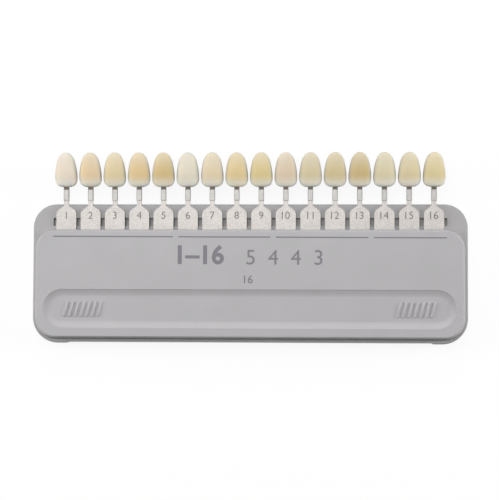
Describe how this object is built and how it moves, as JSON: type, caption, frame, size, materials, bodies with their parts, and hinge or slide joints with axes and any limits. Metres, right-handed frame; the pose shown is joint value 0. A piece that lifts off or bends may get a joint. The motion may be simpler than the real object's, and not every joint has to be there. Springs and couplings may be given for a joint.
{
  "type": "dental shade guide",
  "caption": "Flat grey holder with a row of sample teeth on pull-out metal carriers, for matching the colour of a tooth.",
  "frame": {"origin": "centre of the bounding box in X and Y, on the holder's back face, which it rests on", "axes": "+X along the holder with the lowest number at -X, +Y from the grip towards the teeth, +Z out of the front"},
  "size_m": [0.187, 0.082, 0.0122],
  "materials": {
    "grey_shell": "fine satin moulded",
    "grey_cover": "fine satin moulded",
    "carrier_steel": "bead blasted stainless steel",
    "dark_pin": "oxidised",
    "ceramic_brown": "glazed ceramic, reddish brown group",
    "ceramic_yellow": "glazed ceramic, reddish yellow group",
    "ceramic_grey": "glazed ceramic, grey group",
    "ceramic_warm_grey": "glazed ceramic, reddish grey group"
  },
  "bodies": {
    "holder": {"back_shell": "grey_shell", "front_cover": "grey_cover"},
    "tab_01": {"carrier_01": "carrier_steel", "pin_01": "dark_pin", "tooth_01": "ceramic_brown"},
    "tab_02": {"carrier_02": "carrier_steel", "pin_02": "dark_pin", "tooth_02": "ceramic_brown"},
    "tab_03": {"carrier_03": "carrier_steel", "pin_03": "dark_pin", "tooth_03": "ceramic_brown"},
    "tab_04": {"carrier_04": "carrier_steel", "pin_04": "dark_pin", "tooth_04": "ceramic_brown"},
    "tab_05": {"carrier_05": "carrier_steel", "pin_05": "dark_pin", "tooth_05": "ceramic_brown"},
    "tab_06": {"carrier_06": "carrier_steel", "pin_06": "dark_pin", "tooth_06": "ceramic_yellow"},
    "tab_07": {"carrier_07": "carrier_steel", "pin_07": "dark_pin", "tooth_07": "ceramic_yellow"},
    "tab_08": {"carrier_08": "carrier_steel", "pin_08": "dark_pin", "tooth_08": "ceramic_yellow"},
    "tab_09": {"carrier_09": "carrier_steel", "pin_09": "dark_pin", "tooth_09": "ceramic_yellow"},
    "tab_10": {"carrier_10": "carrier_steel", "pin_10": "dark_pin", "tooth_10": "ceramic_grey"},
    "tab_11": {"carrier_11": "carrier_steel", "pin_11": "dark_pin", "tooth_11": "ceramic_grey"},
    "tab_12": {"carrier_12": "carrier_steel", "pin_12": "dark_pin", "tooth_12": "ceramic_grey"},
    "tab_13": {"carrier_13": "carrier_steel", "pin_13": "dark_pin", "tooth_13": "ceramic_grey"},
    "tab_14": {"carrier_14": "carrier_steel", "pin_14": "dark_pin", "tooth_14": "ceramic_warm_grey"},
    "tab_15": {"carrier_15": "carrier_steel", "pin_15": "dark_pin", "tooth_15": "ceramic_warm_grey"},
    "tab_16": {"carrier_16": "carrier_steel", "pin_16": "dark_pin", "tooth_16": "ceramic_warm_grey"}
  },
  "joints": [
    {"name": "tab_01_slide", "type": "slide", "parent": "holder", "child": "tab_01", "axis": [0, 1, 0], "range_m": [0, 0.031]},
    {"name": "tab_02_slide", "type": "slide", "parent": "holder", "child": "tab_02", "axis": [0, 1, 0], "range_m": [0, 0.031]},
    {"name": "tab_03_slide", "type": "slide", "parent": "holder", "child": "tab_03", "axis": [0, 1, 0], "range_m": [0, 0.031]},
    {"name": "tab_04_slide", "type": "slide", "parent": "holder", "child": "tab_04", "axis": [0, 1, 0], "range_m": [0, 0.031]},
    {"name": "tab_05_slide", "type": "slide", "parent": "holder", "child": "tab_05", "axis": [0, 1, 0], "range_m": [0, 0.031]},
    {"name": "tab_06_slide", "type": "slide", "parent": "holder", "child": "tab_06", "axis": [0, 1, 0], "range_m": [0, 0.031]},
    {"name": "tab_07_slide", "type": "slide", "parent": "holder", "child": "tab_07", "axis": [0, 1, 0], "range_m": [0, 0.031]},
    {"name": "tab_08_slide", "type": "slide", "parent": "holder", "child": "tab_08", "axis": [0, 1, 0], "range_m": [0, 0.031]},
    {"name": "tab_09_slide", "type": "slide", "parent": "holder", "child": "tab_09", "axis": [0, 1, 0], "range_m": [0, 0.031]},
    {"name": "tab_10_slide", "type": "slide", "parent": "holder", "child": "tab_10", "axis": [0, 1, 0], "range_m": [0, 0.031]},
    {"name": "tab_11_slide", "type": "slide", "parent": "holder", "child": "tab_11", "axis": [0, 1, 0], "range_m": [0, 0.031]},
    {"name": "tab_12_slide", "type": "slide", "parent": "holder", "child": "tab_12", "axis": [0, 1, 0], "range_m": [0, 0.031]},
    {"name": "tab_13_slide", "type": "slide", "parent": "holder", "child": "tab_13", "axis": [0, 1, 0], "range_m": [0, 0.031]},
    {"name": "tab_14_slide", "type": "slide", "parent": "holder", "child": "tab_14", "axis": [0, 1, 0], "range_m": [0, 0.031]},
    {"name": "tab_15_slide", "type": "slide", "parent": "holder", "child": "tab_15", "axis": [0, 1, 0], "range_m": [0, 0.031]},
    {"name": "tab_16_slide", "type": "slide", "parent": "holder", "child": "tab_16", "axis": [0, 1, 0], "range_m": [0, 0.031]}
  ]
}
